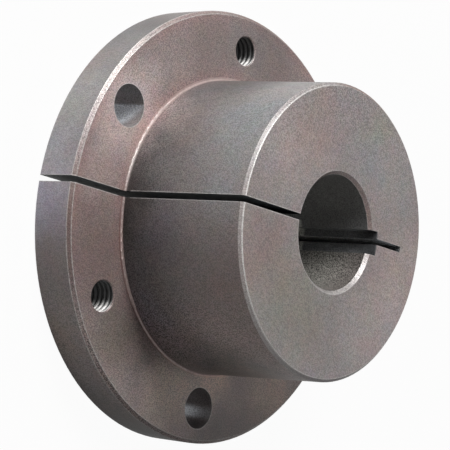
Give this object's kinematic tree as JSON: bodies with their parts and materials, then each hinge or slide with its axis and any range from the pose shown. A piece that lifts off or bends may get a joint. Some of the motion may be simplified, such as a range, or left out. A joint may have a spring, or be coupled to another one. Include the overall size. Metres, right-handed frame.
{
  "type": "quick disconnect bushing",
  "caption": "Split tapered bushing with a round flange, a keyed bore, a saw cut through one side, and plain and threaded screw holes around the flange.",
  "frame": {"origin": "on the bore's axis at the flange's back face", "axes": "+Z along the bore from the flange to the barrel's nose, +X from the axis through the middle of the keyway, +Y completes a right-handed frame"},
  "size_m": [0.1174, 0.1174, 0.0508],
  "materials": {
    "iron": "machined, satin, fine grain"
  },
  "bodies": {
    "root": {"bushing": "iron"}
  },
  "joints": []
}
